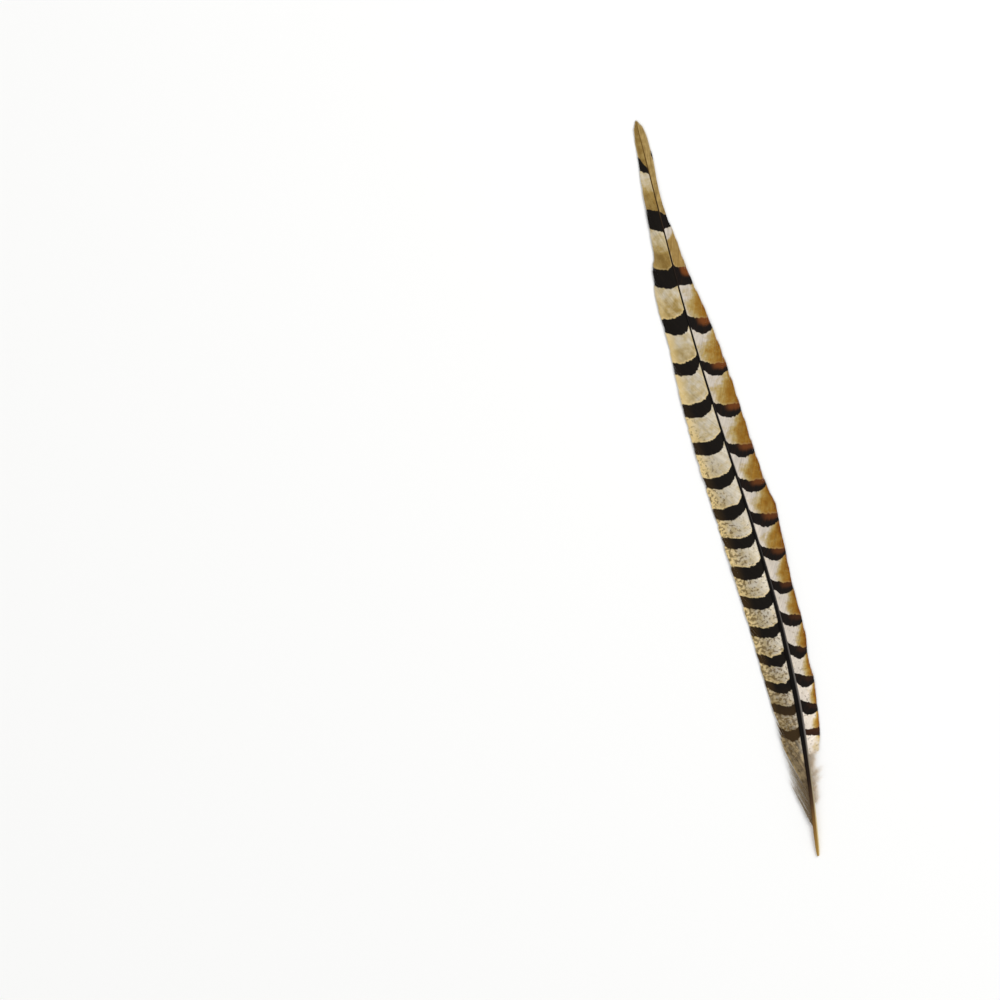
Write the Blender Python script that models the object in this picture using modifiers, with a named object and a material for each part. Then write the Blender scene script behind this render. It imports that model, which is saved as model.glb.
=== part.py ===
"""A barred pheasant tail feather, lying with its upper side up and its tip towards +Y.

The feather grew as one piece, so it is one closed solid: a tapering shaft with a bare quill,
and a thin vane on each side whose barbs are held together in pointed locks. The lowest locks
are loose down. The inner vane is on -X and the outer vane, the narrow one, on +X.
Metres, +Z up, the floor at z = 0.
"""
import math
import random
from collections import namedtuple

import bmesh
import bpy
from mathutils import Vector

MM = 0.001

# --- driving dimensions, in millimetres ---------------------------------------------------
LENGTH = 379.0          # straight from the end of the quill to the tip
CHORD_X = -4.85         # where that straight line lies, beside the middle of the feather

# The shaft, by the distance from the end of the quill.
SHAFT_BOW = [(0, 0.0), (12, 1.5), (28, 3.6), (52, 6.1), (81, 8.3), (120, 9.35), (170, 7.5),
             (214, 4.3), (258, 1.7), (305, 0.35), (379, 0.0)]
SHAFT_HEIGHT = [(0, 0.56), (12, 1.3), (40, 2.5), (80, 3.9), (130, 4.6), (200, 4.3),
                (280, 3.0), (340, 1.5), (379, 0.4)]
SHAFT_RADIUS = [(0, 0.55), (3, 0.9), (12, 1.15), (30, 1.25), (50, 1.45), (75, 1.65),
                (100, 1.4), (130, 1.05), (160, 0.8), (220, 0.55), (300, 0.4), (350, 0.3),
                (378, 0.16)]
SHAFT_END = 377.6       # where the shaft runs out, just inside the tip of the vane
SHAFT_POINTS = 64
SHAFT_ROUNDNESS = 3     # bevel resolution: 10 sides

# How far each vane reaches sideways from the shaft, by the distance from the tip.
INNER_REACH = [(0, 0.6), (4, 2.2), (12, 3.3), (18, 3.6), (30, 5.1), (54, 6.8), (66, 7.8),
               (69, 8.2), (72, 9.8), (78, 10.9), (90, 12.8), (108, 12.6), (126, 13.7),
               (144, 15.0), (174, 16.2), (208, 16.7), (250, 16.0), (280, 14.6), (304, 12.6),
               (324, 10.8), (345, 9.0), (362, 5.0)]
OUTER_REACH = [(0, 0.7), (4, 2.7), (8, 3.4), (18, 3.8), (36, 2.7), (48, 3.2), (60, 5.0),
               (72, 6.1), (84, 7.6), (96, 9.6), (108, 11.0), (126, 12.6), (140, 13.1),
               (190, 13.2), (198, 13.9), (204, 14.8), (212, 13.8), (228, 12.6), (246, 11.2),
               (268, 11.5), (282, 10.2), (290, 10.9), (300, 10.2), (318, 9.1), (325, 7.8),
               (330, 6.6), (337, 8.0), (343, 5.8), (350, 3.2), (356, 1.8), (366, 1.4)]

# The angle between the shaft and a barb, in degrees, by the distance of its root from the tip.
INNER_ANGLE = [(0, 9), (40, 13), (90, 24), (160, 33), (290, 34), (325, 27), (366, 22)]
OUTER_ANGLE = [(0, 9), (40, 13), (90, 24), (160, 31), (300, 35), (316, 46), (328, 84),
               (345, 76), (366, 66)]
BARB_BEND = 0.3         # how much wider that angle is at the root, and narrower at the barb's tip

VANE_THICKNESS = 0.45
VANE_SEAT = 0.25        # height of the vane over the shaft's axis, in shaft radii
VANE_CAMBER = 1.7       # power of the fall from the shaft to the edge
EDGE_HEIGHT = 0.24      # middle of the vane's thickness at its edge, which lies on the floor
EDGE_LIFT = 0.5         # how far the tip of a lock may stand off the floor
DOWN_LIFT = 2.2         # the same for a tuft of down

# --- locks --------------------------------------------------------------------------------
FIRST_ROOT = 1.6        # distance of the first barbs' roots from the tip
FIRM_END = 336.0        # of the last roots of the firm vane
DOWN_END = 366.0        # of the last roots of the down
FIRM_LOCKS = 32         # along each side
DOWN_LOCKS = 8
FIRM_SHAPE = (0.0, 1.0, 0.7)        # how much of a lock's notch each of its rows fills
DOWN_SHAPE = (0.0, 1.0, 0.8)        # the same for a tuft
FIRM_NOTCH = (0.02, 0.08)           # least and most depth of a notch, as a part of the reach
INNER_DOWN_NOTCH = (0.12, 0.3)      # the inner vane's foot is the closer of the two
OUTER_DOWN_NOTCH = (0.35, 0.6)
COLUMNS = 5             # cells from the shaft to the edge
SEED = 17

Vane = namedtuple("Vane", "side reach angle down_notch")
VANES = (Vane(-1, INNER_REACH, INNER_ANGLE, INNER_DOWN_NOTCH),
         Vane(1, OUTER_REACH, OUTER_ANGLE, OUTER_DOWN_NOTCH))


def smooth(table, place):
    """Read a table of (place, value) as a smooth curve that stays between its values."""
    places = [row[0] for row in table]
    values = [row[1] for row in table]
    if place <= places[0]:
        return values[0]
    if place >= places[-1]:
        return values[-1]
    slopes = [(values[i + 1] - values[i]) / (places[i + 1] - places[i])
              for i in range(len(table) - 1)]
    left = next(i for i in range(len(slopes)) if place <= places[i + 1])

    def tangent(i):
        if i == 0 or i == len(slopes):
            return slopes[min(i, len(slopes) - 1)]
        before, after = slopes[i - 1], slopes[i]
        return 2 * before * after / (before + after) if before * after > 0 else 0.0

    width = places[left + 1] - places[left]
    t = (place - places[left]) / width
    return (values[left] * (1 + 2 * t) * (1 - t) ** 2
            + tangent(left) * width * t * (1 - t) ** 2
            + values[left + 1] * t * t * (3 - 2 * t)
            - tangent(left + 1) * width * t * t * (1 - t))


def beside_shaft(from_tip, aside):
    """The place in plan, in millimetres, at a distance from the tip and beside the shaft."""
    along = LENGTH - from_tip
    slope = smooth(SHAFT_BOW, along + 1) - smooth(SHAFT_BOW, along - 1)
    across = Vector((1, -slope / 2)).normalized()
    middle = Vector((CHORD_X + smooth(SHAFT_BOW, along), along - LENGTH / 2))
    return middle + aside * across


def barb_slopes(vane, root):
    """Forward run per sideways run of a barb, at its root and at its tip."""
    angle = math.radians(smooth(vane.angle, root))
    return 1 / math.tan(angle * (1 + BARB_BEND)), 1 / math.tan(angle * (1 - BARB_BEND))


def barb_reach(vane, root):
    """How far sideways the barb from this root goes before it meets the vane's outline."""
    run = sum(barb_slopes(vane, root)) / 2
    short, long = 0.0, root / run
    for _ in range(30):
        middle = (short + long) / 2
        if middle < smooth(vane.reach, root - middle * run):
            short = middle
        else:
            long = middle
    return long


def barb_point(vane, root, part, lift):
    """A point of the vane's middle surface, a part of the way from the root to the edge."""
    start, end = barb_slopes(vane, root)
    reach = barb_reach(vane, root)
    ahead = reach * (start * part + (end - start) * part * part / 2)
    place = beside_shaft(max(root - ahead, 0), vane.side * reach * part)
    along = LENGTH - root
    seat = smooth(SHAFT_HEIGHT, along) + VANE_SEAT * smooth(SHAFT_RADIUS, along)
    fall = (seat - EDGE_HEIGHT) * part ** VANE_CAMBER
    return Vector((*place, seat - fall + lift * part ** 3)) * MM


def lock_rows():
    """For each row of barbs: its root, and for each vane its part of the reach and its lift."""
    chance = random.Random(SEED)
    down_notches = [vane.down_notch for vane in VANES]
    zones = [(FIRST_ROOT, FIRM_END, FIRM_LOCKS, FIRM_SHAPE, [FIRM_NOTCH] * 2, EDGE_LIFT),
             (FIRM_END, DOWN_END, DOWN_LOCKS, DOWN_SHAPE, down_notches, DOWN_LIFT)]
    rows = []
    for start, end, locks, shape, notches, lift in zones:
        pitch = (end - start) / (locks * len(shape))
        for lock in range(locks):
            lifts = [lift * chance.random() for _ in VANES]
            depths = [chance.uniform(*notch) for notch in notches]
            for row, filled in enumerate(shape):
                root = start + pitch * (lock * len(shape) + row)
                parts = [1 - depth * (1 - filled) for depth in depths]
                rows.append((root, parts, lifts))
    return rows


def vane_sheet(collection):
    """Both vanes as one open sheet: a grid whose rows are barbs and run from edge to edge."""
    rows = lock_rows()
    sheet = bmesh.new()
    bmesh.ops.create_grid(sheet, x_segments=len(rows) - 1, y_segments=2 * COLUMNS, size=1)
    for vert in sheet.verts:
        root, parts, lifts = rows[round((vert.co.x + 1) / 2 * (len(rows) - 1))]
        across = round(vert.co.y * COLUMNS) / COLUMNS
        which = int(across > 0)
        vert.co = barb_point(VANES[which], root, abs(across) * parts[which], lifts[which])
    bmesh.ops.recalc_face_normals(sheet, faces=sheet.faces)
    mesh = bpy.data.meshes.new("tail_feather")
    sheet.to_mesh(mesh)
    sheet.free()
    feather = bpy.data.objects.new("tail_feather", mesh)
    collection.objects.link(feather)
    wall = feather.modifiers.new("thickness", "SOLIDIFY")
    wall.thickness = VANE_THICKNESS * MM
    wall.offset = 0
    return feather


def shaft_tube(collection):
    """The quill and shaft: one tube that tapers both ways from the foot of the vanes."""
    curve = bpy.data.curves.new("shaft", "CURVE")
    curve.dimensions = "3D"
    curve.bevel_depth = MM
    curve.bevel_resolution = SHAFT_ROUNDNESS
    curve.use_fill_caps = True
    spline = curve.splines.new("POLY")
    spline.points.add(SHAFT_POINTS - 1)
    for index, point in enumerate(spline.points):
        along = SHAFT_END * index / (SHAFT_POINTS - 1)
        place = beside_shaft(LENGTH - along, 0)
        point.co = (*place * MM, smooth(SHAFT_HEIGHT, along) * MM, 1)
        point.radius = smooth(SHAFT_RADIUS, along)
    tube = bpy.data.objects.new("shaft_curve", curve)
    collection.objects.link(tube)
    bpy.context.view_layer.update()
    evaluated = tube.evaluated_get(bpy.context.evaluated_depsgraph_get())
    mesh = bpy.data.meshes.new_from_object(evaluated)
    welded = bmesh.new()
    welded.from_mesh(mesh)
    bmesh.ops.remove_doubles(welded, verts=welded.verts, dist=0.00001)
    bmesh.ops.recalc_face_normals(welded, faces=welded.faces)
    welded.to_mesh(mesh)
    welded.free()
    shaft = bpy.data.objects.new("shaft_solid", mesh)
    shaft.matrix_world = tube.matrix_world
    shaft.hide_render = True
    shaft.display_type = "WIRE"
    collection.objects.link(shaft)
    bpy.data.objects.remove(tube)
    return shaft


def feather_material():
    """Keratin with the buff of the paler patches."""
    material = bpy.data.materials.new("feather_keratin")
    material.use_nodes = True
    shader = material.node_tree.nodes["Principled BSDF"]
    shader.inputs["Base Color"].default_value = (0.55, 0.47, 0.34, 1)
    shader.inputs["Roughness"].default_value = 0.6
    shader.inputs["Metallic"].default_value = 0.0
    return material


def main():
    for old in list(bpy.data.objects):
        bpy.data.objects.remove(old)
    parts = bpy.data.collections.new("pheasant_tail_feather")
    joined = bpy.data.collections.new("joined_shapes")
    for collection in (parts, joined):
        bpy.context.scene.collection.children.link(collection)
    feather = vane_sheet(parts)
    union = feather.modifiers.new("shaft", "BOOLEAN")
    union.operation = "UNION"
    union.object = shaft_tube(joined)
    feather.data.materials.append(feather_material())


main()
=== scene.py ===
"""A barred pheasant tail feather, lying with its upper side up on a pale studio floor.

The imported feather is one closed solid. Here it is dressed as the real one grew: a tapering
shaft with a bare quill, a firm vane of fine barbs on each side of it, and loose down at the
foot. Metres, +Z up; the tip is towards +Y, the inner vane on -X and the outer vane on +X.
Places along the feather are in millimetres from its tip, unless a name says otherwise.
"""

import logging
import math
import random
from dataclasses import dataclass, field
from enum import Enum

import bmesh
import bpy
import numpy as np
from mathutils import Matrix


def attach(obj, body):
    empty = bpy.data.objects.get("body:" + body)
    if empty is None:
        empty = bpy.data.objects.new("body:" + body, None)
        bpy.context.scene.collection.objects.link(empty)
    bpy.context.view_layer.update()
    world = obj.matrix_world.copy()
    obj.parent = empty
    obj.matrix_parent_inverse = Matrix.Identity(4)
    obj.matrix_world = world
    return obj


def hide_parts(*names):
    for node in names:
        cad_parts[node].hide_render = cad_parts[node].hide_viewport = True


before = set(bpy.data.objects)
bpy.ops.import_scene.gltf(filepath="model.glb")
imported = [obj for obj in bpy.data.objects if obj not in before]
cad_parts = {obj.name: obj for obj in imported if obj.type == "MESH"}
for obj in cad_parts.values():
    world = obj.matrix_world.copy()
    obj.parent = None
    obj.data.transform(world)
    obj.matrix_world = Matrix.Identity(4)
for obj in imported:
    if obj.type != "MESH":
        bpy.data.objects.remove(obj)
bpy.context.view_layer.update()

MM = 0.001
NODE = "tail_feather"
BODY = "root"
BAKE_MAP = "OFBake"
HALVINGS = 30
Array = np.ndarray
LOG = logging.getLogger("tail_feather")


class Side(Enum):
    """Which side of the shaft a vane is on; the value is the sign of its X."""

    INNER = -1
    OUTER = 1


# --- measures that change along the feather ---------------------------------------------------
@dataclass(frozen=True)
class Course:
    """A measure that changes smoothly from place to place.

    Attributes:
        knots: Pairs of place and value, the places rising.
    """

    knots: tuple

    def at(self, place: Array) -> Array:
        """Read the measure, on a curve that stays between the values of its knots.

        Args:
            place: Where to read it.

        Returns:
            The value at each place.
        """
        places, values = np.array(self.knots, float).T
        widths = np.diff(places)
        slopes = np.diff(values) / widths
        before, after = slopes[:-1], slopes[1:]
        level = before * after <= 0
        bends = np.where(level, 0.0, 2 * before * after / np.where(level, 1, before + after))
        tangents = np.concatenate([slopes[:1], bends, slopes[-1:]])
        left = np.clip(np.searchsorted(places, place) - 1, 0, len(slopes) - 1)
        t = np.clip((place - places[left]) / widths[left], 0, 1)
        start = values[left] * (1 + 2 * t) + tangents[left] * widths[left] * t
        end = values[left + 1] * (3 - 2 * t) - tangents[left + 1] * widths[left] * (1 - t)
        return start * (1 - t) ** 2 + end * t ** 2


def ease(low: float, high: float, value: Array) -> Array:
    """Rise smoothly from 0 at low to 1 at high.

    Args:
        low: Where the rise starts.
        high: Where it ends, which may be below low.
        value: What is compared with them.

    Returns:
        The eased part, from 0 to 1.
    """
    t = np.clip((value - low) / (high - low), 0, 1)
    return t * t * (3 - 2 * t)


@dataclass(frozen=True)
class FeatherLine:
    """The bowed middle line of the shaft, which everything else is placed along."""

    length: float = 379.0
    chord_x: float = -4.85
    bow: Course = Course(((0, 0.0), (12, 1.5), (28, 3.6), (52, 6.1), (81, 8.3), (120, 9.35),
                          (170, 7.5), (214, 4.3), (258, 1.7), (305, 0.35), (379, 0.0)))
    height: Course = Course(((0, 0.56), (12, 1.3), (40, 2.5), (80, 3.9), (130, 4.6), (200, 4.3),
                             (280, 3.0), (340, 1.5), (379, 0.4)))
    radius: Course = Course(((0, 0.55), (3, 0.9), (12, 1.15), (30, 1.25), (50, 1.45), (75, 1.65),
                             (100, 1.4), (130, 1.05), (160, 0.8), (220, 0.55), (300, 0.4),
                             (350, 0.3), (378, 0.16)))

    def beside(self, from_tip: Array, aside: Array) -> Array:
        """Find a place in plan beside the shaft.

        Args:
            from_tip: Distance from the tip along the feather.
            aside: Distance from the shaft's middle, towards +X.

        Returns:
            X and Y in millimetres, as the last axis.
        """
        along = self.length - from_tip
        slope = (self.bow.at(along + 1) - self.bow.at(along - 1)) / 2
        steep = np.sqrt(1 + slope ** 2)
        x = self.chord_x + self.bow.at(along) + aside / steep
        y = along - self.length / 2 - aside * slope / steep
        return np.stack([x, y], axis=-1)

    def height_at(self, from_tip: Array) -> Array:
        """Give the height of the shaft's middle."""
        return self.height.at(self.length - from_tip)

    def radius_at(self, from_tip: Array) -> Array:
        """Give the shaft's radius."""
        return self.radius.at(self.length - from_tip)


@dataclass(frozen=True)
class Locks:
    """How the barbs hold together in pointed locks: firm ones, and tufts of down at the foot."""

    first_root: float = 1.6
    firm_end: float = 336.0
    down_end: float = 366.0
    firm_count: int = 32
    down_count: int = 8
    firm_shape: tuple = (0.0, 1.0, 0.7)
    down_shape: tuple = (0.0, 1.0, 0.8)
    firm_notches: tuple = ((0.02, 0.08), (0.02, 0.08))
    down_notches: tuple = ((0.12, 0.3), (0.35, 0.6))
    firm_lift: float = 0.5
    down_lift: float = 2.2
    seed: int = 17

    def rows(self, side: Side) -> tuple[Array, Array, Array]:
        """Give the rows of barbs that shape the locks of one side.

        Args:
            side: The vane's side.

        Returns:
            For each row its root, how much of the vane's reach it has, and its tip's lift.
        """
        chance = random.Random(self.seed)
        zones = ((self.first_root, self.firm_end, self.firm_count, self.firm_shape,
                  self.firm_notches, self.firm_lift),
                 (self.firm_end, self.down_end, self.down_count, self.down_shape,
                  self.down_notches, self.down_lift))
        which = list(Side).index(side)
        rows = []
        for start, end, count, shape, notches, most_lift in zones:
            pitch = (end - start) / (count * len(shape))
            for lock in range(count):
                lift = [most_lift * chance.random() for _ in Side][which]
                depth = [chance.uniform(*notch) for notch in notches][which]
                for row, filled in enumerate(shape):
                    root = start + pitch * (lock * len(shape) + row)
                    rows.append((root, 1 - depth * (1 - filled), lift))
        return tuple(np.array(rows).T)

    def starts(self, last_root: float) -> Array:
        """Give the first root of each firm lock, down to a last root."""
        pitch = (self.firm_end - self.first_root) / self.firm_count
        return np.arange(self.first_root, last_root, pitch)


@dataclass(frozen=True)
class VanePlan:
    """How the barbs of one side lie: their angle, their reach and their fall to the floor."""

    side: Side
    reach: Course
    angle: Course
    line: FeatherLine = FeatherLine()
    bend: float = 0.3
    seat: float = 0.25
    camber: float = 1.7
    edge_height: float = 0.24
    flank: float = 0.75

    def slopes(self, root: Array) -> tuple[Array, Array]:
        """Give a barb's forward run per sideways run, at its root and at its tip."""
        angle = np.radians(self.angle.at(root))
        return 1 / np.tan(angle * (1 + self.bend)), 1 / np.tan(angle * (1 - self.bend))

    def barb_reach(self, root: Array) -> Array:
        """Find how far sideways each barb goes before it meets the vane's outline.

        Args:
            root: Distance of each root from the tip.

        Returns:
            The sideways reach of each barb.
        """
        run = sum(self.slopes(root)) / 2
        short, long = np.zeros_like(root), root / run
        for _ in range(HALVINGS):
            middle = (short + long) / 2
            inside = middle < self.reach.at(root - middle * run)
            short = np.where(inside, middle, short)
            long = np.where(inside, long, middle)
        return long

    def first_part(self, root: Array, latest: float) -> Array:
        """Give how much of its reach each barb has behind it where it leaves the shaft."""
        start = self.flank * self.line.radius_at(root) / self.barb_reach(root)
        return np.minimum(start, latest)[:, None]

    def lay(self, root: Array, part: Array, lift: Array) -> tuple[Array, Array, Array]:
        """Lay barbs out from the shaft.

        Args:
            root: Distance of each barb's root from the tip, as a column.
            part: How much of its reach each point has gone, a row for each barb.
            lift: How far each barb's tip stands off the floor, as a column.

        Returns:
            The points' distance from the tip, their distance aside, and the points themselves.
        """
        start, end = self.slopes(root)
        reach = self.barb_reach(root)
        ahead = reach * (start * part + (end - start) * part ** 2 / 2)
        from_tip = np.maximum(root - ahead, 0)
        aside = reach * part
        plan = self.line.beside(from_tip, self.side.value * aside)
        seat = self.line.height_at(root) + self.seat * self.line.radius_at(root)
        height = seat - (seat - self.edge_height) * part ** self.camber + lift * part ** 3
        return from_tip, aside, np.concatenate([plan, height[..., None]], axis=-1)

    def across(self, from_tip: Array, aside: Array) -> Array:
        """Give how far across the vane a point is, from 0 at the shaft to 1 at the outline."""
        return np.clip(aside / self.reach.at(from_tip), 0, 1)


INNER_PLAN = VanePlan(
    side=Side.INNER,
    reach=Course(((0, 0.6), (4, 2.2), (12, 3.3), (18, 3.6), (30, 5.1), (54, 6.8), (66, 7.8),
                  (69, 8.2), (72, 9.8), (78, 10.9), (90, 12.8), (108, 12.6), (126, 13.7),
                  (144, 15.0), (174, 16.2), (208, 16.7), (250, 16.0), (280, 14.6), (304, 12.6),
                  (324, 10.8), (345, 9.0), (362, 5.0))),
    angle=Course(((0, 9), (40, 13), (90, 24), (160, 33), (290, 34), (325, 27), (366, 22))))
OUTER_PLAN = VanePlan(
    side=Side.OUTER,
    reach=Course(((0, 0.7), (4, 2.7), (8, 3.4), (18, 3.8), (36, 2.7), (48, 3.2), (60, 5.0),
                  (72, 6.1), (84, 7.6), (96, 9.6), (108, 11.0), (126, 12.6), (140, 13.1),
                  (190, 13.2), (198, 13.9), (204, 14.8), (212, 13.8), (228, 12.6), (246, 11.2),
                  (268, 11.5), (282, 10.2), (290, 10.9), (300, 10.2), (318, 9.1), (325, 7.8),
                  (330, 6.6), (337, 8.0), (343, 5.8), (350, 3.2), (356, 1.8), (366, 1.4))),
    angle=Course(((0, 9), (40, 13), (90, 24), (160, 31), (300, 35), (316, 46), (328, 84),
                  (345, 76), (366, 66))))


def put(name: str, data: bpy.types.ID) -> bpy.types.Object:
    """Put an object in the scene.

    Args:
        name: Its name.
        data: Its mesh, light or camera.

    Returns:
        The object.
    """
    thing = bpy.data.objects.new(name, data)
    bpy.context.scene.collection.objects.link(thing)
    return thing


# --- strands: many thin closed strips in one mesh ---------------------------------------------
# Corners of a strip's section, as (sideways, upwards) in half widths, clockwise from the ridge.
BARB_SECTION = ((0.0, 0.35), (1.0, 0.0), (0.0, -0.8), (-1.0, 0.0))
HAIR_SECTION = ((0.0, 0.9), (0.87, -0.5), (-0.87, -0.5))
UNDER_LEVEL = -0.2
SHARP_ANGLE = math.radians(100)
UP = (0.0, 0.0, 1.0)


@dataclass
class Strands:
    """Thin strips laid along middle lines and joined in one mesh.

    Attributes:
        middle: Points of the middle lines, strands by rings by XYZ, in millimetres.
        half_width: Half the width of each strip at each ring.
        section: Corners of the strip's section, in half widths.
        hints: Values by name that the finish reads, strands by rings.
        band: The part of the bake map's height that the strips are laid out in.
    """

    middle: Array
    half_width: Array
    section: tuple
    hints: dict = field(default_factory=dict)
    band: tuple = (0.0, 1.0)

    def frames(self) -> tuple[Array, Array]:
        """Find which way is sideways and which is up, along each strip.

        Returns:
            The two directions at each ring.
        """
        forward = unit(np.gradient(self.middle, axis=1))
        sideways = unit(np.cross(UP, forward))
        return sideways, np.cross(forward, sideways)

    def template(self) -> bmesh.types.BMesh:
        """Make one closed strip.

        Returns:
            The strip, its points in order, ring by ring and corner by corner.
        """
        corners, rings = len(self.section), self.middle.shape[1]
        strip = bmesh.new()
        bmesh.ops.create_cone(strip, cap_ends=True, segments=corners, radius1=1, radius2=1,
                              depth=1)
        long_edges = [edge for edge in strip.edges
                      if edge.verts[0].co.z * edge.verts[1].co.z < 0]
        bmesh.ops.subdivide_edges(strip, edges=long_edges, cuts=rings - 2, use_grid_fill=True)
        step = math.tau / corners
        for vert in strip.verts:
            ring = round((vert.co.z + 0.5) * (rings - 1))
            corner = round(math.atan2(vert.co.x, vert.co.y) / step) % corners
            vert.index = ring * corners + corner
        strip.verts.sort()
        return strip

    def build(self, name: str) -> bpy.types.Object:
        """Make the strands.

        Args:
            name: Name of the piece.

        Returns:
            The piece, in the scene.
        """
        count, rings = self.half_width.shape
        corners = len(self.section)
        strip = self.template()
        single = bpy.data.meshes.new(name)
        strip.to_mesh(single)
        strip.free()
        chart = self.chart(single)
        piece = put(name, single)
        copies = piece.modifiers.new("copies", "ARRAY")
        copies.count = count
        copies.use_relative_offset = False
        copies.use_constant_offset = True
        copies.constant_offset_displace = (0, 0, 0)
        bpy.context.view_layer.update()
        evaluated = piece.evaluated_get(bpy.context.evaluated_depsgraph_get())
        mesh = bpy.data.meshes.new_from_object(evaluated)
        mesh.name = name
        piece.modifiers.clear()
        piece.data = mesh
        bpy.data.meshes.remove(single)

        sideways, upwards = self.frames()
        aside, rise = np.array(self.section).T
        spread = self.half_width[..., None, None]
        points = (self.middle[:, :, None, :]
                  + spread * aside[:, None] * sideways[:, :, None, :]
                  + spread * rise[:, None] * upwards[:, :, None, :])
        mesh.vertices.foreach_set("co", (points * MM).astype(np.float32).ravel())
        mesh.shade_smooth()
        mesh.set_sharp_from_angle(angle=SHARP_ANGLE)

        uv = np.tile(chart, (count, 1, 1))
        uv[..., 0] = (uv[..., 0] + np.arange(count)[:, None]) / count
        layer = mesh.uv_layers.new(name=BAKE_MAP)
        layer.data.foreach_set("uv", uv.astype(np.float32).ravel())
        for hint, values in self.hints.items():
            store(mesh, hint, np.repeat(values.reshape(count * rings, -1), corners, axis=0))
        store(mesh, "under", np.tile(rise < UNDER_LEVEL, count * rings)[:, None])
        mesh.update()
        return piece

    def chart(self, single: bpy.types.Mesh) -> Array:
        """Lay one strip flat for baking: its upper side, and its underside beyond that.

        Args:
            single: The mesh of one strip.

        Returns:
            U and V for each corner of each face.
        """
        corners, rings = len(self.section), self.middle.shape[1]
        chart = np.zeros((len(single.loops), 2))
        foot, height = self.band[0], self.band[1] - self.band[0]
        for face in single.polygons:
            below = face.normal.y < 0
            for loop in face.loop_indices:
                vert = single.loops[loop].vertex_index
                chart[loop] = ((self.section[vert % corners][0] + 1) / 2,
                               foot + height * (vert // corners / (rings - 1) + below) / 2)
        return chart


def store(mesh: bpy.types.Mesh, hint: str, values: Array) -> None:
    """Store what a finish reads at each point of a mesh.

    Args:
        mesh: The mesh.
        hint: The name that the finish reads it by.
        values: One number or three for each point, a row for each.
    """
    kind, key = ("FLOAT_VECTOR", "vector") if values.shape[1] == 3 else ("FLOAT", "value")
    data = mesh.attributes.new(hint, kind, "POINT").data
    data.foreach_set(key, values.astype(np.float32).ravel())


def unit(vectors: Array) -> Array:
    """Scale vectors to a length of one."""
    return vectors / np.maximum(np.linalg.norm(vectors, axis=-1, keepdims=True), 1e-12)


def walked(middle: Array) -> Array:
    """Give how far along its line each point is."""
    lengths = np.linalg.norm(np.diff(middle, axis=1), axis=-1)
    return np.concatenate([np.zeros((len(middle), 1)), np.cumsum(lengths, axis=1)], axis=1)


def ripple(chance: np.random.Generator, count: int, width: int) -> Array:
    """Make a wavering value that drifts from strand to strand.

    Args:
        chance: Source of randomness.
        count: How many strands there are.
        width: Over about how many strands it changes, or 0 for each on its own.

    Returns:
        A value for each strand, mostly between -1 and 1.
    """
    window = np.hanning(2 * width + 1)
    noise = np.convolve(chance.normal(size=count + 2 * width), window, mode="valid")
    return noise / np.sqrt((window ** 2).sum()) / 2


# --- finishes ---------------------------------------------------------------------------------
def linear(colour: str) -> tuple[float, float, float, float]:
    """Turn an sRGB hex colour, such as #c0ffee, to linear red, green, blue and alpha."""
    parts = [int(colour[i:i + 2], 16) / 255 for i in (1, 3, 5)]
    return (*[p / 12.92 if p <= 0.04045 else ((p + 0.055) / 1.055) ** 2.4 for p in parts], 1.0)


class Recipe:
    """A material being put together from nodes."""

    def __init__(self, name: str) -> None:
        """Start a material with a Principled shader.

        Args:
            name: Name of the material.
        """
        self.material = bpy.data.materials.new(name)
        self.material.use_nodes = True
        self.tree = self.material.node_tree
        self.shader = self.tree.nodes["Principled BSDF"]

    def add(self, kind: str, inputs: dict | None = None, out: int | str = 0, stops: tuple = (),
            **settings: object) -> bpy.types.NodeSocket:
        """Add a node.

        Args:
            kind: The node's type, without the ShaderNode that all begin with.
            inputs: For a socket's name or number, a value or the socket to link it to.
            out: Name or number of the output that is wanted.
            stops: Places and hex colours of a colour ramp.
            **settings: Properties of the node.

        Returns:
            That output.
        """
        node = self.tree.nodes.new("ShaderNode" + kind)
        for name, value in settings.items():
            setattr(node, name, value)
        for name, value in (inputs or {}).items():
            self.feed(node.inputs[name], value)
        for number, (place, colour) in enumerate(stops):
            elements = node.color_ramp.elements
            stop = elements[number] if number < 2 else elements.new(place)
            stop.position = place
            stop.color = linear(colour)
        return node.outputs[out]

    def feed(self, socket: bpy.types.NodeSocket, value: object) -> None:
        """Link a socket to another, or set its value.

        Args:
            socket: The socket.
            value: The other socket, or the value.
        """
        if isinstance(value, bpy.types.NodeSocket):
            self.tree.links.new(value, socket)
        else:
            socket.default_value = value

    def pattern(self, where: str, size: tuple, detail: float, roughness: float
                ) -> bpy.types.NodeSocket:
        """Add a noise pattern whose spots have a real size.

        Args:
            where: The hint that it lies on, in millimetres.
            size: Width and length of its spots, in millimetres.
            detail: How many finer layers it has.
            roughness: How strong they are.

        Returns:
            The pattern, mostly from 0.3 to 0.7.
        """
        place = self.add("Attribute", out="Vector", attribute_name=where)
        scale = (1 / size[0], 1 / size[1], 1.0)
        place = self.add("Mapping", {"Vector": place, "Scale": scale})
        return self.add("TexNoise", {"Vector": place, "Scale": 1.0, "Detail": detail,
                                     "Roughness": roughness})

    def finish(self, **inputs: object) -> bpy.types.Material:
        """Set the shader's sockets and end the recipe.

        Args:
            **inputs: Values or sockets, by the shader's names with underscores for spaces.

        Returns:
            The material.
        """
        for name, value in inputs.items():
            self.feed(self.shader.inputs[name.replace("_", " ")], value)
        return self.material


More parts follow.
